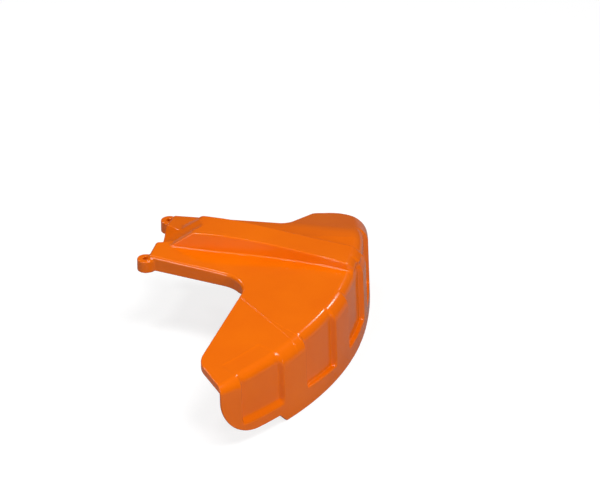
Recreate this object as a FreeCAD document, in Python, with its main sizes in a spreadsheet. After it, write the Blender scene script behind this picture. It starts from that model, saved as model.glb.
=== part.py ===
import FreeCAD, Part
import math
import os
import Sketcher

# Trimmer blade guard: one moulded shell with a curved skirt, a deck, two wings, a ridge and two lugs.
# Millimetres. X runs back towards the skirt, Y to the far side, Z up from the skirt's foot.
# At the end the shell is moved so that the middle of the two lug screws is the origin.

SIZES = [
    ("wall", 3.2),
    # skirt seen from above: a round sweep that opens out towards the far end
    ("skirt_centre_x", -98.3),
    ("skirt_centre_y", -33.0),
    ("skirt_radius", 336.6),
    ("far_radius", 450.0),
    ("far_join_deg", 7.0),
    ("rim_round", 13.0),
    # shallow recesses between upright lands, open over the rim on to the deck
    ("recess_depth", 4.5),
    ("recess_reach_radius", 305.0),
    ("deck_step", 0.8),
    ("ledge_height", 12.5),
    ("near_ledge_height", 19.0),
    ("land_slope_deg", 35.0),
    ("near_land_stop_deg", -33.7),
    ("land_one_start_deg", -24.3),
    ("land_one_stop_deg", -18.6),
    ("land_two_start_deg", -9.0),
    ("land_two_stop_deg", -3.6),
    ("land_three_start_deg", 6.5),
    ("land_three_stop_deg", 10.1),
    ("land_four_start_deg", 18.6),
    # deck: a low gable roof with two wings folded down
    ("deck_height", 80.4),
    ("deck_fall_deg", 3.43),
    ("near_fold_x", 140.1),
    ("near_fold_y", -86.6),
    ("near_fold_heading_deg", -41.1),
    ("near_wing_fall_deg", 0.5),
    ("far_fold_x", 145.4),
    ("far_fold_y", 51.7),
    ("far_fold_heading_deg", 186.0),
    ("far_wing_fall_deg", 14.0),
    # outline seen from above
    ("arm_front_x", 38.0),
    ("arm_front_half", 41.6),
    ("arm_foot", 62.8),
    ("near_corner_x", 141.9),
    ("near_corner_y", -57.6),
    ("near_notch_round", 29.5),
    ("near_tip_x", 133.7),
    ("near_tip_y", -200.5),
    ("near_end_x", 175.0),
    ("near_end_y", -255.6),
    ("near_tip_round", 36.0),
    ("far_corner_x", 146.2),
    ("far_corner_y", 58.3),
    ("far_notch_round", 12.0),
    ("far_tip_round", 8.0),
    ("far_end_deg", 27.7),
    ("far_end_depth", 46.3),
    ("far_end_trim", 20.0),
    ("far_end_round", 22.0),
    # the skirt's foot is higher beyond the first land, and its near end is rounded off
    ("near_foot", 9.0),
    ("near_foot_deg", -24.0),
    ("near_foot_slope_deg", 45.0),
    ("near_foot_round", 52.0),
    # ridge
    ("ridge_front_x", 50.0),
    ("ridge_rear_x", 227.0),
    ("ridge_front_half", 21.6),
    ("ridge_rear_half", 20.0),
    ("ridge_base", 76.0),
    ("ridge_draft_deg", 10.0),
    ("ridge_top", 94.6),
    ("ridge_crown_x", 92.0),
    ("ridge_crown_radius", 730.0),
    ("ridge_slant_x", 53.0),
    ("ridge_slant_height", 79.0),
    ("ridge_slant_deg", 36.4),
    # round saddle through the front of the ridge, rising towards the back
    ("saddle_radius", 18.3),
    ("saddle_height", 60.0),
    ("saddle_rise_deg", 36.0),
    # lugs and their screw holes
    ("lug_x", 35.0),
    ("lug_spacing", 77.0),
    ("lug_radius", 8.2),
    ("lug_foot", 61.0),
    ("lug_top", 73.0),
    ("screw_hole", 5.5),
    # stiffening ribs under the deck
    ("rib_thick", 2.4),
    ("rib_foot", 66.0),
    ("rib_spacing", 68.0),
]

LOW = "-20"
TALL = "190"
REACH = 1500.0

doc = FreeCAD.newDocument("guard")
sheet = doc.addObject("Spreadsheet::Sheet", "sizes")
for row, (name, value) in enumerate(SIZES, 1):
    sheet.set("A%d" % row, name)
    sheet.set("B%d" % row, str(value))
    sheet.setAlias("B%d" % row, name)
doc.recompute()


def size(name):
    return float(sheet.get(name))


def place(obj, x="0", y="0", z="0"):
    for axis, words in (("x", x), ("y", y), ("z", z)):
        obj.setExpression("Placement.Base." + axis, words)


def polar(radius, angle):
    """Expressions for a point on a circle about the skirt's own centre."""
    return ("sizes.skirt_centre_x + (%s) * cos((%s) * 1deg)" % (radius, angle),
            "sizes.skirt_centre_y + (%s) * sin((%s) * 1deg)" % (radius, angle))


def polar_spot(radius, angle_deg):
    """The same point in numbers."""
    a = math.radians(angle_deg)
    return size("skirt_centre_x") + radius * math.cos(a), size("skirt_centre_y") + radius * math.sin(a)


def outline(label, corners):
    """A closed sketch of straight lines, each corner held by two sizes."""
    sketch = doc.addObject("Sketcher::SketchObject", label)
    count = len(corners)
    turns = [2 * math.pi * i / count for i in range(count)]
    spots = [FreeCAD.Vector(100 * math.cos(a), 100 * math.sin(a), 0) for a in turns]
    for i in range(count):
        sketch.addGeometry(Part.LineSegment(spots[i], spots[(i + 1) % count]), False)
    for i in range(count):
        sketch.addConstraint(Sketcher.Constraint("Coincident", i, 2, (i + 1) % count, 1))
    for i, (x, y) in enumerate(corners):
        for kind, words, start in (("DistanceX", x, spots[i].x), ("DistanceY", y, spots[i].y)):
            number = sketch.addConstraint(Sketcher.Constraint(kind, -1, 1, i, 1, start))
            sketch.setExpression("Constraints[%d]" % number, words)
    return sketch


def prism(label, corners, foot=LOW, height=TALL, taper=None):
    sketch = outline(label + "_plan", corners)
    place(sketch, z=foot)
    solid = doc.addObject("Part::Extrusion", label)
    solid.Base = sketch
    solid.DirMode = "Custom"
    solid.Dir = FreeCAD.Vector(0, 0, 1)
    solid.Solid = True
    solid.setExpression("LengthFwd", height)
    if taper:
        solid.setExpression("TaperAngle", taper)
    return solid


def pair(kind, label, base, tool):
    solid = doc.addObject(kind, label)
    solid.Base = base
    solid.Tool = tool
    return solid


def cut(label, base, tool):
    return pair("Part::Cut", label, base, tool)


def both(label, base, tool):
    return pair("Part::Common", label, base, tool)


def fuse(label, shapes):
    solid = doc.addObject("Part::MultiFuse", label)
    solid.Shapes = shapes
    return solid


def rounded(label, base, radius, wanted):
    """Round the edges of a solid that answer to a test."""
    doc.recompute()
    solid = doc.addObject("Part::Fillet", label)
    solid.Base = base
    solid.Edges = [(i, radius, radius) for i, edge in enumerate(base.Shape.Edges, 1) if wanted(edge)]
    return solid


def upright_at(x, y, reach=0.5):
    """A test for the upright edge at a corner of the plan."""
    def test(edge):
        box = edge.BoundBox
        stands = max(box.XLength, box.YLength) < 0.01
        return stands and abs(box.XMin - x) < reach and abs(box.YMin - y) < reach
    return test


def upright(label, x, y, radius, foot, top):
    post = doc.addObject("Part::Cylinder", label)
    post.setExpression("Radius", radius)
    post.setExpression("Height", "%s - (%s)" % (top, foot))
    place(post, x, y, foot)
    return post


def heading(angle_deg, rise=0.0):
    a = math.radians(angle_deg)
    return FreeCAD.Vector(math.cos(a), math.sin(a), rise)


def below_plane(label, point, along, fall_deg, sink=0.0):
    """A large block whose top face holds a fold line and falls away on the right of it."""
    ahead = FreeCAD.Vector(along)
    ahead.normalize()
    right = FreeCAD.Vector(ahead.y, -ahead.x, 0)
    right.normalize()
    fall = math.radians(fall_deg)
    down = right * math.cos(fall) - FreeCAD.Vector(0, 0, 1) * math.sin(fall)
    up = down.cross(ahead)
    up.normalize()
    left = up.cross(ahead)
    block = doc.addObject("Part::Box", label)
    block.Length = REACH
    block.Width = REACH
    block.Height = REACH
    turn = FreeCAD.Rotation(ahead, left, up, "ZXY")
    corner = turn.multVec(FreeCAD.Vector(-REACH / 2, -REACH / 2, -REACH))
    block.Placement = FreeCAD.Placement(FreeCAD.Vector(point) + corner - up * sink, turn)
    return block


def fall_over(fall, distance):
    return math.tan(math.radians(size(fall))) * distance


def roof_planes(prefix, sink):
    """Blocks under the two decks and the two wings, each sunk square to its own face."""
    top = FreeCAD.Vector(0, 0, size("deck_height"))
    planes = []
    for side, turn, sign in (("near", 0.0, 1), ("far", 180.0, -1)):
        fold_turn = size(side + "_fold_heading_deg")
        dip = sign * fall_over("deck_fall_deg", math.sin(math.radians(fold_turn)))
        across = size(side + "_fold_y")
        fold = FreeCAD.Vector(size(side + "_fold_x"), across, top.z + sign * fall_over("deck_fall_deg", across))
        deck = below_plane(prefix + side + "_deck", top, heading(turn), size("deck_fall_deg"), sink)
        wing = below_plane(prefix + side + "_wing", fold, heading(fold_turn, dip),
                           size(side + "_wing_fall_deg"), sink)
        planes += [deck, wing]
    return planes


def drum(label, inset):
    """The full block inside the skirt: a round sector, and a wider one that carries on from it."""
    sectors = []
    shift = "(sizes.skirt_radius - sizes.far_radius)"
    for name, radius, x, y, start, span in (
            ("round", "sizes.skirt_radius", "sizes.skirt_centre_x", "sizes.skirt_centre_y",
             size("far_join_deg") - 70.0, 70.0),
            ("wide", "sizes.far_radius",
             "sizes.skirt_centre_x + %s * cos(sizes.far_join_deg * 1deg)" % shift,
             "sizes.skirt_centre_y + %s * sin(sizes.far_join_deg * 1deg)" % shift,
             size("far_join_deg"), 20.0)):
        sector = doc.addObject("Part::Cylinder", "%s_%s" % (label, name))
        sector.setExpression("Radius", "%s - (%s)" % (radius, inset))
        sector.setExpression("Height", TALL)
        sector.Angle = span
        sector.Placement.Rotation = FreeCAD.Rotation(FreeCAD.Vector(0, 0, 1), start)
        place(sector, x, y, LOW)
        sectors.append(sector)
    return fuse(label, sectors)


def rim_edge(edge):
    return edge.Curve.TypeId != "Part::GeomLine" and edge.BoundBox.ZMin > 0


def roofed(label, body, planes, rim):
    """A drum cut off by roof faces, with its whole rim rounded."""
    for number, plane in enumerate(planes):
        body = both("%s_face%d" % (label, number), body, plane)
    return rounded(label, body, rim, rim_edge)


def covered(prefix, inset, sink, rim):
    return roofed(prefix + "roof", drum(prefix + "drum", inset), roof_planes(prefix, sink), rim)


def land(label, start, stop, shrink):
    """A wedge that keeps the wall proud between two recesses, its sides sloping down to the recess floor."""
    radius = "sizes.skirt_radius"
    lean = "tan(sizes.land_slope_deg * 1deg)"
    inner = "(%s - sizes.recess_depth - 8)" % radius
    outer = "(%s + 9)" % radius
    turn_in = "(8 + sizes.recess_depth) * %s / %s * 57.3" % (lean, radius)
    turn_out = "9 * %s / %s * 57.3" % (lean, radius)
    slim = "%s / %s * 57.3" % (shrink, radius)
    first = "(%s) + (%s)" % (start, slim)
    last = "(%s) - (%s)" % (stop, slim)
    return prism(label, [
        polar("60", "%s - (%s)" % (first, turn_in)),
        polar(inner, "%s - (%s)" % (first, turn_in)),
        polar(outer, "%s + (%s)" % (first, turn_out)),
        polar(outer, "%s - (%s)" % (last, turn_out)),
        polar(inner, "%s + (%s)" % (last, turn_in)),
        polar("60", "%s + (%s)" % (last, turn_in)),
    ])


def foot_band(label, ledge, sink):
    """The band left proud along the skirt's foot, with a sloping ledge above it."""
    cone = doc.addObject("Part::Cone", label)
    cone.setExpression("Radius1", "sizes.skirt_radius + %s + 20 - (%s)" % (ledge, sink))
    cone.setExpression("Radius2", "sizes.skirt_radius + %s - 60 - (%s)" % (ledge, sink))
    cone.setExpression("Height", "80")
    place(cone, "sizes.skirt_centre_x", "sizes.skirt_centre_y", LOW)
    cone.Placement.Rotation = FreeCAD.Rotation(FreeCAD.Vector(0, 0, 1), 180)
    return cone


def walls(prefix, inset):
    """The skirt and roof with their recesses: the outside, or the hollow when inset by the wall."""
    offset = "sizes.wall" if inset else "0"
    slack = "sizes.wall * 1.414" if inset else "0"
    sink = size("wall") if inset else 0.0
    rim = size("rim_round") - sink
    proud = covered(prefix + "proud_", offset, sink, rim)
    floor = covered(prefix + "floor_", "%s + sizes.recess_depth" % offset, sink + size("deck_step"),
                    rim - size("recess_depth"))
    kept = [land(prefix + "land_" + number, start, stop, offset) for number, start, stop in (
        ("near", "-55", "sizes.near_land_stop_deg"),
        ("one", "sizes.land_one_start_deg", "sizes.land_one_stop_deg"),
        ("two", "sizes.land_two_start_deg", "sizes.land_two_stop_deg"),
        ("three", "sizes.land_three_start_deg", "sizes.land_three_stop_deg"),
        ("four", "sizes.land_four_start_deg", "sizes.far_end_deg + 12"))]
    near_side = prism(prefix + "near_side", [
        polar("60", "-60"), polar("700", "-60"), polar("700", "sizes.land_one_start_deg + 2"),
        polar("60", "sizes.land_one_start_deg + 2")])
    kept.append(foot_band(prefix + "foot", "sizes.ledge_height", slack))
    near_foot_band = foot_band(prefix + "near_foot", "sizes.near_ledge_height", slack)
    kept.append(both(prefix + "near_band", near_foot_band, near_side))
    kept.append(upright(prefix + "deck_disc", "sizes.skirt_centre_x", "sizes.skirt_centre_y",
                        "sizes.recess_reach_radius", LOW, "170"))
    raised = both(prefix + "raised", proud, fuse(prefix + "kept", kept))
    return fuse(prefix + "walls", [floor, raised])


FAR_TIP = polar("sizes.skirt_radius - sizes.far_end_depth", "sizes.far_end_deg")


def plan_corners():
    far_turn = "(50 + sizes.far_end_trim) / sizes.skirt_radius * 57.3"
    return [
        ("sizes.arm_front_x", "-sizes.arm_front_half"),
        ("sizes.near_corner_x", "sizes.near_corner_y"),
        ("sizes.near_tip_x", "sizes.near_tip_y"),
        ("sizes.near_end_x", "sizes.near_end_y"),
        ("sizes.near_end_x + 200", "sizes.near_end_y - 60"),
        polar("700", "0"),
        polar("sizes.skirt_radius + 50", "sizes.far_end_deg - %s" % far_turn),
        polar("sizes.skirt_radius - sizes.far_end_trim", "sizes.far_end_deg"),
        FAR_TIP,
        ("sizes.far_corner_x", "sizes.far_corner_y"),
        ("sizes.arm_front_x", "sizes.arm_front_half"),
    ]


def rounded_corners(label, solid, corners):
    for name in corners:
        solid = rounded("%s_%s" % (label, name), solid, size(name + "_round"),
                        upright_at(*corners[name]))
    return solid


def trimmed_plan():
    """The guard seen from above: full height behind, shallow along the arm."""
    spots = {
        "near_notch": (size("near_corner_x"), size("near_corner_y")),
        "near_tip": (size("near_tip_x"), size("near_tip_y")),
        "far_notch": (size("far_corner_x"), size("far_corner_y")),
        "far_tip": polar_spot(size("skirt_radius") - size("far_end_depth"), size("far_end_deg")),
        "far_end": polar_spot(size("skirt_radius") - size("far_end_trim"), size("far_end_deg")),
    }
    corners = plan_corners()
    upper = rounded_corners("upper", prism("upper", corners, "sizes.arm_foot", TALL), spots)
    lower = prism("lower", corners[1:10], "0", "sizes.arm_foot + 1")
    lower = rounded_corners("lower", lower, {name: spots[name] for name in ("near_tip", "far_tip", "far_end")})
    return fuse("trimmed", [upper, lower])


def hollow_plan():
    """Where the hollow may reach: inside the arm's side walls, and open at the front edges and the ends."""
    wall = size("wall")
    arm = prism("hollow_arm", [
        ("sizes.arm_front_x + sizes.wall", "-sizes.arm_front_half + sizes.wall"),
        ("sizes.near_corner_x + sizes.wall", "sizes.near_corner_y + sizes.wall"),
        ("sizes.near_tip_x + sizes.wall", "sizes.near_tip_y"),
        ("sizes.near_tip_x + 600", "sizes.near_tip_y - 400"),
        (FAR_TIP[0] + " + 600", FAR_TIP[1] + " + 400"),
        (FAR_TIP[0] + " + sizes.wall", FAR_TIP[1]),
        ("sizes.far_corner_x + sizes.wall", "sizes.far_corner_y - sizes.wall"),
        ("sizes.arm_front_x + sizes.wall", "sizes.arm_front_half - sizes.wall"),
    ])
    inner = rounded("hollow_near_notch", arm, size("near_notch_round") + wall,
                    upright_at(size("near_corner_x") + wall, size("near_corner_y") + wall))
    inner = rounded("hollow_far_notch", inner, size("far_notch_round") + wall,
                    upright_at(size("far_corner_x") + wall, size("far_corner_y") - wall))
    spaces = [inner]
    for label, edge, side, foot, height in (
            ("near_open", "sizes.near_corner_y - sizes.near_notch_round", "-500", LOW, TALL),
            ("far_open", "sizes.far_corner_y + sizes.far_notch_round", "500", LOW, TALL),
            ("under_arm", "-500", "1000", LOW, "20 + sizes.arm_foot")):
        spaces.append(prism(label, [
            ("sizes.arm_front_x", edge), ("700", edge),
            ("700", "%s + %s" % (edge, side)), ("sizes.arm_front_x", "%s + %s" % (edge, side))], foot, height))
    return fuse("hollow_plan", spaces)


def ridge(prefix, inset):
    """The ridge over the arm: leaning walls under a crowned top, with a slanted front."""
    offset = "sizes.wall" if inset else "0"
    front = "(sizes.ridge_front_half - %s)" % offset
    rear = "(sizes.ridge_rear_half - %s)" % offset
    start = "sizes.ridge_front_x - %s * 2" % offset
    end = "sizes.ridge_rear_x - %s" % offset
    body = prism(prefix + "ridge_body", [(start, "-" + front), (end, "-" + rear), (end, rear), (start, front)],
                 "sizes.ridge_base - %s * 2" % offset, "40", "-sizes.ridge_draft_deg")
    crown = doc.addObject("Part::Cylinder", prefix + "ridge_crown")
    crown.setExpression("Radius", "sizes.ridge_crown_radius - %s" % offset)
    crown.Height = 200
    crown.Placement.Rotation = FreeCAD.Rotation(FreeCAD.Vector(1, 0, 0), 90)
    place(crown, "sizes.ridge_crown_x", "100", "sizes.ridge_top - sizes.ridge_crown_radius")
    slant = below_plane(prefix + "ridge_slant",
                        FreeCAD.Vector(size("ridge_slant_x"), 0, size("ridge_slant_height")),
                        heading(90.0), -size("ridge_slant_deg"), size("wall") if inset else 0.0)
    return both(prefix + "ridge", both(prefix + "ridge_crowned", body, crown), slant)


def near_foot():
    """What is cut away to lift the skirt's foot beyond the first land, with a sloping step."""
    turn = size("near_foot_deg")
    band = prism("near_foot_band", [
        polar("200", "-60"), polar("700", "-60"), polar("700", "sizes.near_foot_deg + 3"),
        polar("200", "sizes.near_foot_deg + 3")], "-5", "5 + sizes.near_foot")
    step = below_plane("near_foot_step", FreeCAD.Vector(*polar_spot(size("skirt_radius"), turn), 0),
                       heading(turn), -size("near_foot_slope_deg"))
    return both("near_foot_cut", band, step)


def foot_corner():
    """The waste below the rounded lower corner at the skirt's near end."""
    reach = size("near_foot_round")
    tip = FreeCAD.Vector(size("near_tip_x"), size("near_tip_y"), 0)
    along = FreeCAD.Vector(size("near_end_x"), size("near_end_y"), 0) - tip
    along.normalize()
    centre = FreeCAD.Vector(size("skirt_centre_x"), size("skirt_centre_y"), 0)
    gap = tip - centre
    before = gap.dot(along)
    run = math.sqrt(size("skirt_radius") ** 2 - gap.dot(gap) + before ** 2) - before
    corner = tip + along * run
    outward = corner - centre
    turn_back = FreeCAD.Rotation(FreeCAD.Vector(0, 0, 1), math.degrees(reach / size("skirt_radius") / 2))
    outward = turn_back.multVec(outward)
    outward.normalize()
    ahead = FreeCAD.Vector(-outward.y, outward.x, 0)
    turn = FreeCAD.Rotation(ahead, outward * -1, FreeCAD.Vector(0, 0, 1), "ZXY")
    block = doc.addObject("Part::Box", "foot_block")
    block.Length = reach + 40
    block.Width = 120
    block.Height = reach + size("near_foot") + 10
    block.Placement = FreeCAD.Placement(corner + turn.multVec(FreeCAD.Vector(-40, -60, -10)), turn)
    barrel = doc.addObject("Part::Cylinder", "foot_barrel")
    barrel.setExpression("Radius", "sizes.near_foot_round")
    barrel.Height = 160
    lie = FreeCAD.Rotation(FreeCAD.Vector(1, 0, 0), 90)
    middle = FreeCAD.Vector(reach, 80, reach + size("near_foot"))
    barrel.Placement = FreeCAD.Placement(corner + turn.multVec(middle), turn.multiply(lie))
    return cut("foot_corner", block, barrel)


def saddle_way(label, radius):
    """The round way of the saddle, open through the front of the ridge, or the jacket around it."""
    way = doc.addObject("Part::Cylinder", label)
    way.setExpression("Radius", radius)
    way.Height = 400
    turn = FreeCAD.Rotation(FreeCAD.Vector(0, 1, 0), 90 - size("saddle_rise_deg"))
    way.Placement.Rotation = turn
    start = turn.multVec(FreeCAD.Vector(0, 0, -100))
    place(way, "%f" % start.x, "0", "sizes.saddle_height + (%f)" % start.z)
    return way


def ribs(space):
    """Two ribs that run back under the deck from the lugs to the skirt."""
    bars = []
    for label, side in (("near_rib", "-1"), ("far_rib", "1")):
        middle = "%s * sizes.rib_spacing / 2" % side
        bars.append(prism(label, [
            ("sizes.arm_front_x + 1", "%s - sizes.rib_thick / 2" % middle),
            ("sizes.ridge_rear_x + 2", "%s - sizes.rib_thick / 2" % middle),
            ("sizes.ridge_rear_x + 2", "%s + sizes.rib_thick / 2" % middle),
            ("sizes.arm_front_x + 1", "%s + sizes.rib_thick / 2" % middle)], "sizes.rib_foot", "60"))
    return both("ribs", fuse("rib_bars", bars), space)


outside = both("outside", walls("out_", False), trimmed_plan())
hollow = both("hollow", walls("in_", True), hollow_plan())
sides = (("near", "-sizes.lug_spacing / 2"), ("far", "sizes.lug_spacing / 2"))
lugs = [upright(side + "_lug", "sizes.lug_x", y, "sizes.lug_radius", "sizes.lug_foot", "sizes.lug_top")
        for side, y in sides]
holes = [upright(side + "_hole", "sizes.lug_x", y, "sizes.screw_hole / 2", LOW, "170") for side, y in sides]
full = fuse("full", [outside, ridge("out_", False)])
spaces = fuse("spaces", [hollow, ridge("in_", True)])
jacket = saddle_way("saddle_jacket", "sizes.saddle_radius + sizes.wall")
shell = cut("shell", full, cut("clear_spaces", spaces, jacket))
stiffened = fuse("stiffened", [shell, ribs(hollow)] + lugs)
way = saddle_way("saddle_way", "sizes.saddle_radius")
waste = fuse("waste", [near_foot(), foot_corner(), way] + holes)
guard = cut("guard", stiffened, waste)
guard.Label = "guard"
guard.Refine = True
place(guard, "-sizes.lug_x", "0", "-sizes.lug_top")
doc.recompute()

for item in doc.Objects:
    if "Invalid" in item.State or "Error" in item.State:
        raise RuntimeError("did not build: " + item.Name)
    if hasattr(item, "Shape") and item.Shape.isNull():
        raise RuntimeError("empty shape: " + item.Name)

shape = guard.Shape
print("guard volume", round(shape.Volume), "solids", len(shape.Solids), "valid", shape.isValid())
print("faces", len(shape.Faces))
box = shape.optimalBoundingBox()
print("box", [round(v, 1) for v in (box.XMin, box.XMax, box.YMin, box.YMax, box.ZMin, box.ZMax)])
os.makedirs("parts", exist_ok=True)
shape.exportStep("parts/guard.step")
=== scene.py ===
# %% [markdown]
# # A moulded trimmer guard
#
# The object is one thin shell of glossy orange plastic: an arm with a ridge, two folded wings and a curved
# skirt with shallow recesses. It came out of one mould, so it is one piece here too.
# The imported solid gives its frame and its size. The looks are built around that frame, in metres.

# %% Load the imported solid
import math

import bpy
import numpy as np
from mathutils import Matrix, Vector


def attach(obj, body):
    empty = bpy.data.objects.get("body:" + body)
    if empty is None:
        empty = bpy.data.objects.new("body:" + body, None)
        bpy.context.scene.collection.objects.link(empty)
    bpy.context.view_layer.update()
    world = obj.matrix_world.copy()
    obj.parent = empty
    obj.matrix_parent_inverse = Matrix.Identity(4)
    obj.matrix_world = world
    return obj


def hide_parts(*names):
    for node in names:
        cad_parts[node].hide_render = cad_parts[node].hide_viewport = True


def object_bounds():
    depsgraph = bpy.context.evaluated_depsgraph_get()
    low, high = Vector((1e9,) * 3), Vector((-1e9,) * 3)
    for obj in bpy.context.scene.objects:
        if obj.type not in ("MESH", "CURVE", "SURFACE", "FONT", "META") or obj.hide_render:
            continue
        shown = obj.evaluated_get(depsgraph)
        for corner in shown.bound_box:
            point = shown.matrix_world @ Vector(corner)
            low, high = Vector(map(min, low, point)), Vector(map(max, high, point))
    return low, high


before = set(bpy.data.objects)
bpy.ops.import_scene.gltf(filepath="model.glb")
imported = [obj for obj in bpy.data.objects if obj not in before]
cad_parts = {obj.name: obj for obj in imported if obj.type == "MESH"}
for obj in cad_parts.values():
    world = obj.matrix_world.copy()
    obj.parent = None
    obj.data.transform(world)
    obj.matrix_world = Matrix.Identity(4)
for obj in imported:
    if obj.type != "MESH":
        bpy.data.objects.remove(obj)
cad_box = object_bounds()
print("nodes in the frame", len(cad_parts))
print("solid box in metres", [[round(v, 4) for v in corner] for corner in cad_box])

# %% [markdown]
# ## How the shell is made
#
# A moulded part has no sharp edge: each corner has a small radius that catches the light.
# Bevelling a solid with many thin faces often tears the mesh, so the shell is written as a distance field
# instead: a function that says, for any point, how far it is from the plastic.
# Two fields meet with `meet`, which rounds an outer edge by a chosen radius, or with `join`, which fills an
# inner corner. A net of quads is then stretched over the places where the field is zero.
# Lengths are millimetres here. X runs back towards the skirt, Y to the far side and Z up from the foot.

# %% Fields that meet and join with a radius


def meet(a, b, radius):
    """What both fields share, with the edge between them rounded."""
    corner = np.hypot(np.maximum(radius + a, 0), np.maximum(radius + b, 0))
    return np.minimum(-radius, np.maximum(a, b)) + corner


def join(a, b, radius):
    """What either field has, with the inner corner between them filled."""
    corner = np.hypot(np.maximum(radius - a, 0), np.maximum(radius - b, 0))
    return np.maximum(radius, np.minimum(a, b)) - corner


def soft_max(a, b, blend):
    """The larger of two fields, eased over a fold."""
    near = np.maximum(blend - np.abs(a - b), 0) / blend
    return np.maximum(a, b) + near * near * blend / 4


def ease(value, start, stop):
    """0 at start and 1 at stop, with a smooth run between them."""
    share = np.clip((value - start) / (stop - start), 0, 1)
    return share * share * (3 - 2 * share)


# %% [markdown]
# ## The skirt
#
# Seen from above, the skirt is one round sweep that opens out a little towards its far end.
# Its wall stands proud at five upright lands. Between them it is set in by a few millimetres, over the whole
# rounded rim and down to a ledge above the foot. The near ledge slopes outwards, the next one climbs a little
# towards the near end, and the others are level.

# %% The skirt's sweep and its recesses
WALL = 3.2
CENTRE = (-98.3, -33.0)
SKIRT_RADIUS = 336.6
FAR_RADIUS = 450.0
FAR_JOIN = 7.0
RECESS = 4.5
RECESS_RUN = 4.6
RECESS_LEAD = 0.7
RECESS_REACH = 305.0
DECK_STEP = 0.3
LEDGE = 14.6
NEAR_LEDGE = 19.0
LANDS = [(-60.0, -33.7), (-24.3, -18.6), (-9.0, -3.6), (6.5, 10.1), (18.6, 45.0)]
FAR_CENTRE = [CENTRE[0] + (SKIRT_RADIUS - FAR_RADIUS) * math.cos(math.radians(FAR_JOIN)),
              CENTRE[1] + (SKIRT_RADIUS - FAR_RADIUS) * math.sin(math.radians(FAR_JOIN))]


def arc(degrees):
    """Millimetres along the skirt for an angle about its centre."""
    return math.radians(degrees) * SKIRT_RADIUS


def sweep(x, y):
    """How far a point lies outside the skirt's line, how far along it, and how far from its centre."""
    out_x = x - CENTRE[0]
    out_y = y - CENTRE[1]
    reach = np.hypot(out_x, out_y)
    along = np.arctan2(out_y, out_x) * SKIRT_RADIUS
    wide = np.hypot(x - FAR_CENTRE[0], y - FAR_CENTRE[1]) - FAR_RADIUS
    return np.where(along > arc(FAR_JOIN), wide, reach - SKIRT_RADIUS), along, reach


def recess_share(along):
    """0 on a land and 1 in a recess."""
    past = np.full_like(along, np.inf)
    for start, stop in LANDS:
        past = np.minimum(past, np.maximum(arc(start) - along, along - arc(stop)))
    return ease(past, -RECESS_LEAD, RECESS_RUN - RECESS_LEAD)


# %% [markdown]
# ## The roof
#
# The deck is a low gable: two flat faces that meet under the ridge. On the near side it folds down a little
# along a slanted crease, with a fine step that branches towards the skirt, and on the far side it falls away
# more steeply. Each face is a plane, given by a point on its fold, the heading of the fold and its fall.

# %% The faces of the roof
DECK_HEIGHT = 80.4
DECK_FALL = 3.43
NEAR_FOLD = (140.1, -86.6)
NEAR_HEADING = -41.1
NEAR_FALL = 0.5
FAR_FOLD = (145.4, 51.7)
FAR_HEADING = 186.0
FAR_FALL = 14.0
FAR_CREASE = 1.6
FOLD_STEP = 0.7
FOLD_RUN = 1.1
FOLD_START = (-76.0, -88.0)
SECOND_FOLD = (170.9, -113.5)
SECOND_HEADING = -30.4


def face(point, heading, rise, fall):
    """A plane through a point, as its normal and offset: it falls to the right of the heading."""
    turn = math.radians(heading)
    ahead = Vector((math.cos(turn), math.sin(turn), rise)).normalized()
    right = Vector((ahead.y, -ahead.x, 0)).normalized()
    lean = math.radians(fall)
    down = right * math.cos(lean) - Vector((0, 0, 1)) * math.sin(lean)
    up = down.cross(ahead).normalized()
    return up, up.dot(Vector(point))


def roof_faces():
    """The planes of the deck and of both wings."""
    slope = math.tan(math.radians(DECK_FALL))
    top = (0, 0, DECK_HEIGHT)
    near = (*NEAR_FOLD, DECK_HEIGHT - slope * abs(NEAR_FOLD[1]))
    far = (*FAR_FOLD, DECK_HEIGHT - slope * abs(FAR_FOLD[1]))
    near_rise = slope * math.sin(math.radians(NEAR_HEADING))
    far_rise = -slope * math.sin(math.radians(FAR_HEADING))
    return {"near_deck": face(top, 0, 0, DECK_FALL), "far_deck": face(top, 180, 0, DECK_FALL),
            "near_wing": face(near, NEAR_HEADING, near_rise, NEAR_FALL),
            "far_wing": face(far, FAR_HEADING, far_rise, FAR_FALL)}


FACES = roof_faces()


def past_fold(x, y, point, heading):
    """Millimetres to the right of a fold line, seen from above."""
    turn = math.radians(heading)
    return (x - point[0]) * math.sin(turn) - (y - point[1]) * math.cos(turn)


def roof(x, y, z):
    """How far a point lies above the roof."""
    above = {name: up.x * x + up.y * y + up.z * z - offset for name, (up, offset) in FACES.items()}
    decks = np.maximum(above["near_deck"], above["far_deck"])
    first = past_fold(x, y, NEAR_FOLD, NEAR_HEADING)
    second = np.maximum(first, past_fold(x, y, SECOND_FOLD, SECOND_HEADING))
    lowered = (ease(first, 0, FOLD_RUN) + ease(second, 0, FOLD_RUN)) * ease(y, *FOLD_START)
    near = np.maximum(decks, above["near_wing"]) + FOLD_STEP / 2 * lowered
    return soft_max(near, above["far_wing"], FAR_CREASE)


print("roof faces", {name: [round(v, 3) for v in up] for name, (up, offset) in FACES.items()})

# %% [markdown]
# ## The outline from above
#
# The outline is a short list of corners, each with its own radius. `rounded_outline` swaps a corner for an
# arc, and `outline_gap` measures the distance to the closed line, negative inside.

# %% Outlines with rounded corners
ARC_PARTS = 10


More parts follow.
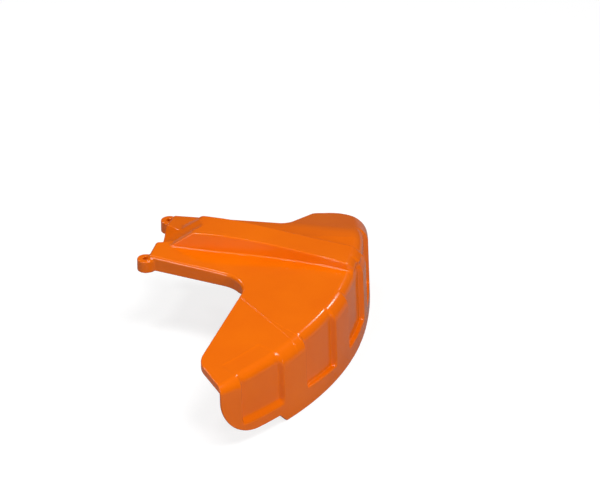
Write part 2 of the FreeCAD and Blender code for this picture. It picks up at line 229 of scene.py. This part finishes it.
def rounded_outline(corners):
    """Points round a closed outline whose corners are (x, y, radius)."""
    points = []
    count = len(corners)
    for i, (x, y, radius) in enumerate(corners):
        here = Vector((x, y))
        back = (Vector(corners[i - 1][:2]) - here).normalized()
        ahead = (Vector(corners[(i + 1) % count][:2]) - here).normalized()
        if radius == 0:
            points.append(here)
            continue
        half = back.angle(ahead) / 2
        middle = here + (back + ahead).normalized() * (radius / math.sin(half))
        first = here + back * (radius / math.tan(half)) - middle
        last = here + ahead * (radius / math.tan(half)) - middle
        for k in range(ARC_PARTS + 1):
            share = k / ARC_PARTS
            points.append(middle + (first * (1 - share) + last * share).normalized() * radius)
    return points


def outline_gap(x, y, points):
    """Signed distance to a closed outline."""
    nearest = np.full(np.broadcast(x, y).shape, np.inf)
    inside = np.zeros(nearest.shape, dtype=bool)
    for i, tip in enumerate(points):
        tail = points[i - 1]
        run = tip - tail
        off_x = x - tail.x
        off_y = y - tail.y
        share = np.clip((off_x * run.x + off_y * run.y) / run.length_squared, 0, 1)
        nearest = np.minimum(nearest, (off_x - share * run.x) ** 2 + (off_y - share * run.y) ** 2)
        spans = (y >= min(tail.y, tip.y)) & (y < max(tail.y, tip.y))
        if run.y != 0:
            inside ^= spans & (off_x < off_y * run.x / run.y)
    return np.where(inside, -1, 1) * np.sqrt(nearest)


def on_skirt(radius, degrees):
    """A point at a distance and an angle from the skirt's centre."""
    turn = math.radians(degrees)
    return CENTRE[0] + radius * math.cos(turn), CENTRE[1] + radius * math.sin(turn)


ARM_FRONT = 38.0
ARM_HALF = 41.6
ARM_FOOT = 62.8
ARM_ROUND = 3.0
HOLLOW_ROUND = 1.0
NEAR_CORNER = (141.9, -57.6)
NEAR_NOTCH = 29.5
NEAR_TIP = (133.7, -200.5)
NEAR_END = (180.0, -254.4)
NEAR_TIP_ROUND = 33.0
FAR_CORNER = (146.2, 58.3)
FAR_NOTCH = 12.0
FAR_END = 27.7
FAR_END_DEPTH = 46.3
FAR_TIP = on_skirt(SKIRT_RADIUS - FAR_END_DEPTH, FAR_END)
FAR_TIP_ROUND = 8.0
FAR_END_TRIM = 20.0
FAR_END_ROUND = 22.0
WELL_PAST = 50.0
PAST_NEAR_END = (200.0, 60.0)
PAST_SKIRT = 700.0
PAST_WINGS = (600.0, 400.0)

OUTLINE = rounded_outline([
    (ARM_FRONT, -ARM_HALF, ARM_ROUND), (*NEAR_CORNER, NEAR_NOTCH), (*NEAR_TIP, NEAR_TIP_ROUND),
    (*NEAR_END, 0), (NEAR_END[0] + PAST_NEAR_END[0], NEAR_END[1] - PAST_NEAR_END[1], 0),
    (*on_skirt(PAST_SKIRT, 0), 0),
    (*on_skirt(SKIRT_RADIUS + WELL_PAST,
               FAR_END - math.degrees((WELL_PAST + FAR_END_TRIM) / SKIRT_RADIUS)), 0),
    (*on_skirt(SKIRT_RADIUS - FAR_END_TRIM, FAR_END), FAR_END_ROUND),
    (*FAR_TIP, FAR_TIP_ROUND), (*FAR_CORNER, FAR_NOTCH), (ARM_FRONT, ARM_HALF, ARM_ROUND)])
HOLLOW_OUTLINE = rounded_outline([
    (ARM_FRONT + WALL, -ARM_HALF + WALL, HOLLOW_ROUND),
    (NEAR_CORNER[0] + WALL, NEAR_CORNER[1] + WALL, NEAR_NOTCH + WALL),
    (NEAR_TIP[0] + WALL, NEAR_TIP[1], 0),
    (NEAR_TIP[0] + PAST_WINGS[0], NEAR_TIP[1] - PAST_WINGS[1], 0),
    (FAR_TIP[0] + PAST_WINGS[0], FAR_TIP[1] + PAST_WINGS[1], 0),
    (FAR_TIP[0] + WALL, FAR_TIP[1], 0),
    (FAR_CORNER[0] + WALL, FAR_CORNER[1] - WALL, FAR_NOTCH + WALL),
    (ARM_FRONT + WALL, ARM_HALF - WALL, HOLLOW_ROUND)])
print("outline points", len(OUTLINE), "and", len(HOLLOW_OUTLINE))

# %% [markdown]
# ## The ridge, the saddle and the lugs
#
# A hollow ridge stiffens the arm. Its walls lean in, the near one with a slight waist. Its top is a very
# large arc that dips a little and runs out over the rim, and its front slants back. A round saddle with its
# own wall is sunk into that front, and a lug with a screw hole stands at each side of it. Two ribs run back
# under the deck from the lugs.

# %% Sizes of the ridge, saddle, lugs and ribs
RIDGE_FRONT = 50.0
RIDGE_REAR = 227.0
RIDGE_FRONT_HALF = 21.6
RIDGE_REAR_HALF = 20.0
RIDGE_BASE = 76.0
RIDGE_DRAFT = math.radians(10.0)
RIDGE_SINK = 6.0
RIDGE_WAIST = 7.0
WAIST_RUN = (55.0, 165.0)
WAIST_RETURN = 0.4
WAIST_RETURN_RUN = (190.0, 230.0)
RIDGE_DIP = 2.6
DIP_RUN = (92.0, 165.0)
DIP_RETURN_RUN = (232.0, 180.0)
RIDGE_TOP = 94.6
CROWN_X = 92.0
CROWN_RADIUS = 730.0
SLANT = (53.0, 79.0)
SLANT_RISE = math.radians(36.4)
RIDGE_EDGE = 1.2
RIDGE_FILLET = 1.2
HOLLOW_EDGE = 0.6
SADDLE_RADIUS = 18.3
SADDLE_HEIGHT = 60.0
SADDLE_RISE = math.radians(36.0)
LUG_X = 35.0
LUG_Y = 38.5
LUG_RADIUS = 8.2
LUG_FOOT = 61.0
LUG_TOP = 73.0
LUG_EDGE = 1.0
LUG_FILLET = 3.5
SCREW_RADIUS = 2.75
SCREW_EDGE = 0.5
RIB_HALF = 1.2
RIB_Y = 34.0
RIB_FOOT = 66.0
RIB_START = 1.0
RIB_PAST = 2.0
RIB_INSET = 1.0


def ridge(x, y, z, inset):
    """The ridge's outside, or its hollow when inset by the wall."""
    share = (x - RIDGE_FRONT) / (RIDGE_REAR - RIDGE_FRONT)
    half = RIDGE_FRONT_HALF + (RIDGE_REAR_HALF - RIDGE_FRONT_HALF) * share
    waist = RIDGE_WAIST * ease(x, *WAIST_RUN) - WAIST_RETURN * RIDGE_WAIST * ease(x, *WAIST_RETURN_RUN)
    half = half - np.where(y < 0, waist, 0)
    side = (np.abs(y) - half + (z - RIDGE_BASE) * math.tan(RIDGE_DRAFT)) * math.cos(RIDGE_DRAFT)
    dip = RIDGE_DIP * ease(x, *DIP_RUN) * ease(x, *DIP_RETURN_RUN)
    top = np.hypot(x - CROWN_X, z + dip - RIDGE_TOP + CROWN_RADIUS) - CROWN_RADIUS
    slant = (z - SLANT[1]) * math.cos(SLANT_RISE) - (x - SLANT[0]) * math.sin(SLANT_RISE)
    edge = RIDGE_EDGE if inset == 0 else HOLLOW_EDGE
    body = meet(meet(side + inset, top + inset, edge), slant + inset, edge)
    return np.maximum(np.maximum(body, RIDGE_FRONT - x + inset), RIDGE_BASE - RIDGE_SINK - z)


def saddle(x, y, z):
    """The round way through the front of the ridge."""
    off = (z - SADDLE_HEIGHT) * math.cos(SADDLE_RISE) - x * math.sin(SADDLE_RISE)
    return np.hypot(y, off) - SADDLE_RADIUS


def lugs(x, y, z):
    """The two lugs, and the holes through them."""
    round_wall = np.hypot(x - LUG_X, np.abs(y) - LUG_Y)
    post = meet(round_wall - LUG_RADIUS, np.maximum(LUG_FOOT - z, z - LUG_TOP), LUG_EDGE)
    return post, round_wall - SCREW_RADIUS


print("ridge", RIDGE_REAR - RIDGE_FRONT, "mm long, lugs", 2 * LUG_Y, "mm apart")

# %% [markdown]
# ## The whole shell
#
# The outside is the skirt under the roof, trimmed to the outline. The skirt leans in a little towards the
# top, as a moulded wall does. The hollow is the same form set in by the wall. It stays closed along the arm,
# which has side walls, and is open below and along the wings' edges. The skirt's foot is higher beyond the
# first land, and its near end is rounded off below. The near wing's free edge is turned down as a short lip
# that grows towards its tip.

# %% The shell's distance field
RIM_ROUND = 13.5
NEAR_RIM_ROUND = 8.5
FAR_RIM_ROUND = 14.5
LEAST_RIM_ROUND = 0.8
NEAR_RIM_RUN = (-37.0, -31.0)
FAR_RIM_RUN = (-4.0, 12.0)
NEAR_RECESS_STOP = LANDS[1][0] + 2.0
SECOND_RECESS = (LANDS[1][1], LANDS[2][0])
STEP_RUN = 1.0
SKIRT_DRAFT = 0.035
LEDGE_EDGE = 1.0
LEDGE_CLIMB = 4.5
LEDGE_LEAN = (0.12, 1.0)
LIP = 7.0
LIP_RUN = (-140.0, -190.0)
ARM_EDGE = 3.4
ARM_EDGE_X = (150.0, 138.0)
ARM_EDGE_Y = (-95.0, -75.0)
THIN_EDGE = 1.0
FOOT_EDGE = 0.8
NEAR_FOOT = 9.0
NEAR_FOOT_START = -24.0
NEAR_FOOT_ROUND = 43.0
NOTCH_START = 4.0
NOTCH_SLOPE = 0.36
NOTCH_RISE = 12.0
END_LINE = (Vector(NEAR_END) - Vector(NEAR_TIP)).normalized()


def shell(x, y, z):
    """Distance from the plastic: negative inside it."""
    gap, along, reach = sweep(x, y)
    gap = gap + SKIRT_DRAFT * z
    share = recess_share(along)
    near = along < arc(NEAR_RECESS_STOP)
    second_start, second_stop = map(arc, SECOND_RECESS)
    climb = np.clip((second_stop - along) / (second_stop - second_start), 0, 1)
    ledge = np.where(near, NEAR_LEDGE, LEDGE + LEDGE_CLIMB * climb)
    lean = np.where(near, LEDGE_LEAN[1], LEDGE_LEAN[0])
    band = meet(gap, (z - ledge + lean * gap) / np.hypot(1, lean), LEDGE_EDGE)
    recess = RECESS * share
    wall = gap * (1 - share) + join(gap + RECESS, band, LEDGE_EDGE) * share
    step = DECK_STEP * share * near * ease(reach, RECESS_REACH - STEP_RUN, RECESS_REACH + STEP_RUN)
    top = roof(x, y, z) + step
    rim = NEAR_RIM_ROUND + (RIM_ROUND - NEAR_RIM_ROUND) * ease(along, *map(arc, NEAR_RIM_RUN))
    rim = rim + (FAR_RIM_ROUND - RIM_ROUND) * ease(along, *map(arc, FAR_RIM_RUN)) - recess
    body = meet(wall, join(top, ridge(x, y, z, 0), RIDGE_FILLET), rim)

    edge = THIN_EDGE + (ARM_EDGE - THIN_EDGE) * ease(y, *ARM_EDGE_Y) * ease(x, *ARM_EDGE_X)
    trim = outline_gap(x, y, OUTLINE)
    outside = meet(body, trim, edge)

    arm_foot = ARM_FOOT + np.clip((NEAR_CORNER[1] - NOTCH_START - y) * NOTCH_SLOPE, 0, NOTCH_RISE)
    open_side = np.minimum(y - NEAR_CORNER[1] + NEAR_NOTCH, FAR_CORNER[1] + FAR_NOTCH - y)
    reach_in = np.minimum(np.minimum(outline_gap(x, y, HOLLOW_OUTLINE), open_side), z - arm_foot)
    ceiling = join(top + WALL, ridge(x, y, z, WALL), HOLLOW_EDGE)
    under = meet(wall + WALL, ceiling, np.maximum(rim - WALL, LEAST_RIM_ROUND))
    hollow = np.maximum(under, reach_in)
    lip = LIP * ease(y, *LIP_RUN)
    hollow = np.maximum(hollow, np.minimum(trim + WALL, top + lip))
    way = saddle(x, y, z)
    hollow = meet(hollow, WALL - way, THIN_EDGE)
    ribs = np.maximum(np.maximum(np.abs(np.abs(y) - RIB_Y) - RIB_HALF, RIB_FOOT - z),
                      np.maximum(ARM_FRONT + RIB_START - x, x - RIDGE_REAR - RIB_PAST))
    plastic = meet(outside, -hollow, THIN_EDGE)
    plastic = join(plastic, np.maximum(ribs, outside + RIB_INSET), THIN_EDGE)
    post, screw = lugs(x, y, z)
    plastic = join(plastic, post, LUG_FILLET)
    plastic = meet(plastic, -way, THIN_EDGE)
    plastic = meet(plastic, -screw, SCREW_EDGE)

    inward = -((x - NEAR_TIP[0]) * END_LINE.y - (y - NEAR_TIP[1]) * END_LINE.x)
    short = np.maximum(NEAR_FOOT_ROUND - inward, 0)
    corner = np.hypot(short, np.maximum(NEAR_FOOT_ROUND + NEAR_FOOT - z, 0)) - NEAR_FOOT_ROUND
    waste = np.minimum(z, np.maximum(-corner, along - arc(NEAR_FOOT_START) + z))
    return meet(plastic, -waste, FOOT_EDGE)


# %% [markdown]
# ## From the field to a mesh
#
# The field is sampled on a grid of small cubes. Each cube that the surface passes through gets one point,
# and each grid edge that it crosses gets one quad: a surface net. The points are then pulled on to the exact
# surface along the field's slope, and the same slope gives each point its normal, so that flat faces shade
# flat and rounded edges shade round.

# %% A surface net
MM_PER_METRE = 1000.0
MM = 1 / MM_PER_METRE
GRID = 0.9
MARGIN = 3.0
SLAB = 24
CORNERS = [(i, j, k) for i in (0, 1) for j in (0, 1) for k in (0, 1)]
CUBE_EDGES = [(a, b) for a in range(8) for b in range(a + 1, 8)
              if sum(abs(p - q) for p, q in zip(CORNERS[a], CORNERS[b])) == 1]
TO_FOOT = np.array([LUG_X, 0.0, LUG_TOP])


def sample(low, high):
    """The field on a grid, a slab at a time."""
    axes = [np.arange(a, b + GRID, GRID) for a, b in zip(low, high)]
    x, y, z = np.meshgrid(*axes, indexing="ij", sparse=True)
    slabs = [shell(x[i:i + SLAB], y, z).astype(np.float32) for i in range(0, len(axes[0]), SLAB)]
    return np.concatenate(slabs)


def surface_net(field, low):
    """Points and quads over the field's zero surface."""
    inside = field < 0
    shape = [n - 1 for n in field.shape]

    def shifted(values, corner):
        return values[tuple(slice(c, c + n) for c, n in zip(corner, shape))]

    count = sum(shifted(inside, corner).astype(np.int8) for corner in CORNERS)
    cells = np.argwhere((count > 0) & (count < 8))
    number = np.full(shape, -1, dtype=np.int64)
    number[tuple(cells.T)] = np.arange(len(cells))
    values = np.stack([field[tuple((cells + corner).T)] for corner in CORNERS], axis=1)
    total = np.zeros((len(cells), 3))
    hits = np.zeros(len(cells))
    for a, b in CUBE_EDGES:
        crossed = (values[:, a] < 0) != (values[:, b] < 0)
        first, last = values[crossed, a], values[crossed, b]
        share = (first / (first - last))[:, None]
        total[crossed] += np.array(CORNERS[a]) * (1 - share) + np.array(CORNERS[b]) * share
        hits[crossed] += 1
    points = low + (cells + total / hits[:, None]) * GRID

    quads = []
    for axis in range(3):
        u, v = (axis + 1) % 3, (axis + 2) % 3
        here = [slice(None)] * 3
        here[axis] = slice(0, -1)
        there = [slice(None)] * 3
        there[axis] = slice(1, None)
        first, last = inside[tuple(here)], inside[tuple(there)]
        edges = np.argwhere(first != last)
        within_u = (edges[:, u] > 0) & (edges[:, u] < shape[u])
        within_v = (edges[:, v] > 0) & (edges[:, v] < shape[v])
        edges = edges[within_u & within_v]
        ring = []
        for du, dv in ((1, 1), (0, 1), (0, 0), (1, 0)):
            cell = edges.copy()
            cell[:, u] -= du
            cell[:, v] -= dv
            ring.append(number[tuple(cell.T)])
        ring = np.stack(ring, axis=1)
        outward = first[tuple(edges.T)]
        quads.append(np.where(outward[:, None], ring, ring[:, ::-1]))
    return points, np.concatenate(quads)


def slope(points, step=0.05):
    """The field's slope at each point, by small differences."""
    columns = []
    for axis in range(3):
        nudge = np.zeros(3)
        nudge[axis] = step
        columns.append((shell(*(points + nudge).T) - shell(*(points - nudge).T)) / (2 * step))
    return np.stack(columns, axis=1)


def settle(points, rounds=4, most=0.4, least_slope=0.05):
    """Pull points on to the zero surface."""
    for _ in range(rounds):
        pull = slope(points)
        length = np.maximum((pull * pull).sum(axis=1), least_slope)
        move = -pull * (shell(*points.T) / length)[:, None]
        far = np.linalg.norm(move, axis=1, keepdims=True)
        points = points + move * np.minimum(1, most / np.maximum(far, 1e-9))
    return points


# %% Make the shell's mesh
low_corner = np.array(cad_box[0]) * MM_PER_METRE + TO_FOOT - MARGIN
high_corner = np.array(cad_box[1]) * MM_PER_METRE + TO_FOOT + MARGIN
net_points, net_quads = surface_net(sample(low_corner, high_corner), low_corner)
net_points = settle(net_points)
print("net", len(net_points), "points and", len(net_quads), "quads")

# %% [markdown]
# A net has as many points on a flat face as on a rounded edge. Collapsing edges where that costs no shape
# thins out the flat faces, and the points are settled once more afterwards.

# %% Thin the net out and give it true normals
MOST_TRIANGLES = 194000


def quad_mesh(name, points, quads):
    """A mesh from arrays of points and quads."""
    mesh = bpy.data.meshes.new(name)
    mesh.vertices.add(len(points))
    mesh.vertices.foreach_set("co", points.astype(np.float32).ravel())
    mesh.loops.add(quads.size)
    mesh.loops.foreach_set("vertex_index", quads.astype(np.int32).ravel())
    mesh.polygons.add(len(quads))
    mesh.polygons.foreach_set("loop_start", np.arange(0, quads.size, 4, dtype=np.int32))
    mesh.update(calc_edges=True)
    mesh.validate()
    return mesh


def thinned(mesh, share):
    """The same surface with a share of its triangles."""
    holder = bpy.data.objects.new("net_holder", mesh)
    bpy.context.scene.collection.objects.link(holder)
    fewer = holder.modifiers.new("fewer", "DECIMATE")
    fewer.ratio = share
    fewer.use_collapse_triangulate = True
    reduced = holder.evaluated_get(bpy.context.evaluated_depsgraph_get())
    lighter = bpy.data.meshes.new_from_object(reduced)
    bpy.data.objects.remove(holder)
    return lighter


def vertex_places(mesh):
    """The mesh's points as rows of x, y and z."""
    flat = np.empty(len(mesh.vertices) * 3, dtype=np.float32)
    mesh.vertices.foreach_get("co", flat)
    return flat.reshape(-1, 3).astype(np.float64)


def true_normals(mesh, places):
    """Give the mesh its normals from the field's slope."""
    lean = slope(places)
    lean /= np.maximum(np.linalg.norm(lean, axis=1, keepdims=True), 1e-9)
    mesh.polygons.foreach_set("use_smooth", np.ones(len(mesh.polygons), dtype=bool))
    mesh.normals_split_custom_set_from_vertices(lean.tolist())


guard_net = quad_mesh("guard_net", net_points, net_quads)
guard_mesh = thinned(guard_net, MOST_TRIANGLES / (2 * len(net_quads)))
guard_mesh.name = "guard_shell"
places = settle(vertex_places(guard_mesh), rounds=2, most=0.15)
guard_mesh.vertices.foreach_set("co", ((places - TO_FOOT) * MM).astype(np.float32).ravel())
guard_mesh.update()
true_normals(guard_mesh, places)
guard_shell = bpy.data.objects.new("guard_shell", guard_mesh)
bpy.context.scene.collection.objects.link(guard_shell)
print("shell", len(guard_mesh.vertices), "points and", len(guard_mesh.polygons), "triangles")

# %% [markdown]
# ## The plastic
#
# The shell is injection-moulded polyamide, coloured right through. A polished mould leaves it glossy, with a
# very slight waviness that bends reflections, a fine grain, and colour that hardly changes over the part.
# Its gloss is a clear, dielectric one, so the shader stays non-metallic with the IOR of nylon.

# %% Colours and nodes


def linear(hex_colour):
    """An sRGB hex colour as linear red, green, blue and alpha."""
    parts = [int(hex_colour[i:i + 2], 16) / 255 for i in (1, 3, 5)]
    return [c / 12.92 if c <= 0.04045 else ((c + 0.055) / 1.055) ** 2.4 for c in parts] + [1.0]


def add_node(tree, kind, settings=None, links=None):
    """A node with its settings, and links from (node, output) to its inputs."""
    node = tree.nodes.new(kind)
    for name, value in (settings or {}).items():
        if isinstance(name, int) or name in node.inputs:
            node.inputs[name].default_value = value
        else:
            setattr(node, name, value)
    for name, (source, output) in (links or {}).items():
        tree.links.new(source.outputs[output], node.inputs[name])
    return node


def new_material(name):
    """An empty material and its node tree."""
    material = bpy.data.materials.new(name)
    material.use_nodes = True
    material.node_tree.nodes.clear()
    return material, material.node_tree


# %% Glossy orange polyamide
NYLON_IOR = 1.53
WAVE_MM = 14.0
GRAIN_MM = 0.9
TINT_MM = 60.0


def per_metre(size_mm):
    """The noise scale that repeats about once in a real size."""
    return MM_PER_METRE / size_mm


def orange_polyamide():
    """Glossy plastic with a faint tint, waviness and grain at their real sizes."""
    material, tree = new_material("moulded_orange_polyamide")
    where = add_node(tree, "ShaderNodeTexCoord")
    tint = add_node(tree, "ShaderNodeTexNoise", {"Scale": per_metre(TINT_MM), "Detail": 3.0},
                    {"Vector": (where, "Object")})
    colour = add_node(tree, "ShaderNodeValToRGB", links={"Fac": (tint, "Fac")})
    colour.color_ramp.elements[0].position = 0.3
    colour.color_ramp.elements[0].color = linear("#EB6900")
    colour.color_ramp.elements[1].position = 0.7
    colour.color_ramp.elements[1].color = linear("#F17000")
    wave = add_node(tree, "ShaderNodeTexNoise", {"Scale": per_metre(WAVE_MM), "Detail": 2.0},
                    {"Vector": (where, "Object")})
    grain = add_node(tree, "ShaderNodeTexNoise", {"Scale": per_metre(GRAIN_MM), "Detail": 2.0},
                     {"Vector": (where, "Object")})
    gloss = add_node(tree, "ShaderNodeMapRange", {"To Min": 0.13, "To Max": 0.19}, {"Value": (wave, "Fac")})
    swell = add_node(tree, "ShaderNodeBump", {"Strength": 0.12, "Distance": 0.0006},
                     {"Height": (wave, "Fac")})
    skin = add_node(tree, "ShaderNodeBump", {"Strength": 0.10, "Distance": 0.00005},
                    {"Height": (grain, "Fac"), "Normal": (swell, "Normal")})
    plastic = add_node(tree, "ShaderNodeBsdfPrincipled", {"IOR": NYLON_IOR, "Metallic": 0.0},
                       {"Base Color": (colour, "Color"), "Roughness": (gloss, "Result"),
                        "Normal": (skin, "Normal")})
    add_node(tree, "ShaderNodeOutputMaterial", links={"Surface": (plastic, "BSDF")})
    return material


guard_mesh.materials.clear()
guard_mesh.materials.append(orange_polyamide())
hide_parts("guard")
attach(guard_shell, "root")
print("plastic on", guard_shell.name)

# %% [markdown]
# ## Floor and light
#
# The floor is a pale plain sheet that keeps the soft shadow and is clear from below. To the camera it glows a
# little, which makes it white, and the surroundings are white too. The light falls mainly from two soft boxes
# overhead, with weaker ones in front and at the right. The right one is left out of reflections, because it
# would glare on the deck when seen from behind. Two small lamps behind draw thin lights along the rim, the
# ledges and the folds.

# %% Floor, backdrop light and lamps
FLOOR_HALF = 6.0
FLOOR_DROP = 0.0002
FLOOR_GLOW = 0.78
BACKDROP = 1.0
AMBIENT = 0.06


def pale_floor():
    """A matt sheet that glows a little for the camera and is clear from below."""
    material, tree = new_material("pale_matt_floor")
    path = add_node(tree, "ShaderNodeLightPath")
    glow = add_node(tree, "ShaderNodeMath", {"operation": "MULTIPLY", 1: FLOOR_GLOW},
                    {0: (path, "Is Camera Ray")})
    sheet = add_node(tree, "ShaderNodeBsdfDiffuse", {"Color": linear("#949494")})
    light = add_node(tree, "ShaderNodeEmission", links={"Strength": (glow, 0)})
    above = add_node(tree, "ShaderNodeAddShader", links={0: (sheet, 0), 1: (light, 0)})
    below = add_node(tree, "ShaderNodeBsdfTransparent")
    side = add_node(tree, "ShaderNodeNewGeometry")
    floor = add_node(tree, "ShaderNodeMixShader",
                     links={0: (side, "Backfacing"), 1: (above, 0), 2: (below, 0)})
    add_node(tree, "ShaderNodeOutputMaterial", links={"Surface": (floor, 0)})
    return material


def floor_sheet(height):
    """A wide square under the part."""
    mesh = bpy.data.meshes.new("floor")
    corners = [(-1, -1), (1, -1), (1, 1), (-1, 1)]
    mesh.from_pydata([(x * FLOOR_HALF, y * FLOOR_HALF, height) for x, y in corners], [], [(0, 1, 2, 3)])
    mesh.materials.append(pale_floor())
    floor = bpy.data.objects.new("floor", mesh)
    bpy.context.scene.collection.objects.link(floor)


def surroundings():
    """White to the camera, and a weak even light for the rest."""
    world = bpy.data.worlds.new("studio")
    bpy.context.scene.world = world
    world.use_nodes = True
    tree = world.node_tree
    tree.nodes.clear()
    path = add_node(tree, "ShaderNodeLightPath")
    shown = add_node(tree, "ShaderNodeBackground", {"Color": linear("#FFFFFF"), "Strength": BACKDROP})
    dim = add_node(tree, "ShaderNodeBackground", {"Color": linear("#FFFFFF"), "Strength": AMBIENT})
    mixed = add_node(tree, "ShaderNodeMixShader",
                     links={0: (path, "Is Camera Ray"), 1: (dim, 0), 2: (shown, 0)})
    add_node(tree, "ShaderNodeOutputWorld", links={"Surface": (mixed, 0)})


def soft_lamp(name, place, aim, width, power, mirrored=True):
    """A rectangular lamp aimed at a point. One that isn't mirrored leaves no reflection of itself."""
    lamp = bpy.data.lights.new(name, "AREA")
    lamp.shape = "RECTANGLE"
    lamp.size, lamp.size_y = width
    lamp.energy = power
    holder = bpy.data.objects.new(name, lamp)
    holder.visible_glossy = mirrored
    holder.location = place
    holder.rotation_euler = (Vector(aim) - Vector(place)).to_track_quat("-Z", "Y").to_euler()
    bpy.context.scene.collection.objects.link(holder)


middle = [(a + b) / 2 for a, b in zip(*cad_box)]
floor_sheet(cad_box[0][2] - FLOOR_DROP)
surroundings()
soft_lamp("overhead", (0.6, -0.35, 1.7), middle, (0.9, 0.8), 18.5)
soft_lamp("overhead_left", (-0.36, -0.2, 1.7), middle, (0.3, 0.4), 6.5)
soft_lamp("front", (-0.8, -1.6, 0.7), middle, (0.9, 0.5), 10)
soft_lamp("right", (1.6, -1.0, 0.5), middle, (0.9, 0.6), 13.5, mirrored=False)
soft_lamp("behind_right", (0.7, 1.5, 1.4), middle, (0.25, 0.2), 2.8)
soft_lamp("behind_left", (-1.2, 0.75, 1.35), middle, (0.3, 0.3), 4)
print("lit around", [round(v, 3) for v in middle])

# %% [markdown]
# ## Camera
#
# The view is from the near side and above, turned a little towards the skirt, with a long lens far away, so
# that upright edges stay upright. The lens follows from the picture's real scale, in millimetres to a pixel.

# %% Camera
VIEW_AZIMUTH = math.radians(15.5)
VIEW_HEIGHT = math.radians(29.1)
VIEW_DISTANCE = 5000.0
PIXEL_MM = 0.95
PICTURE_WIDTH = 600
SENSOR_MM = 36.0
AIM_RIGHT = 167.7
AIM_UP = 58.1
CLIP_END = 100.0


def set_camera():
    """A camera on the view's line, aimed beside the part as the picture is."""
    right = Vector((math.cos(VIEW_AZIMUTH), math.sin(VIEW_AZIMUTH), 0))
    back = Vector((math.sin(VIEW_AZIMUTH) * math.cos(VIEW_HEIGHT),
                   -math.cos(VIEW_AZIMUTH) * math.cos(VIEW_HEIGHT), math.sin(VIEW_HEIGHT)))
    up = back.cross(right)
    eye = back * VIEW_DISTANCE + right * AIM_RIGHT + up * AIM_UP - Vector(TO_FOOT)
    lens = bpy.data.cameras.new("camera")
    lens.sensor_fit = "HORIZONTAL"
    lens.sensor_width = SENSOR_MM
    lens.lens = SENSOR_MM * VIEW_DISTANCE / (PIXEL_MM * PICTURE_WIDTH)
    lens.clip_end = CLIP_END
    holder = bpy.data.objects.new("camera", lens)
    holder.matrix_world = Matrix.Translation(eye * MM) @ Matrix((right, up, back)).transposed().to_4x4()
    bpy.context.scene.collection.objects.link(holder)
    bpy.context.scene.camera = holder
    return lens


print("lens", round(set_camera().lens, 1), "mm")
bpy.context.scene.view_settings.view_transform = "Standard"
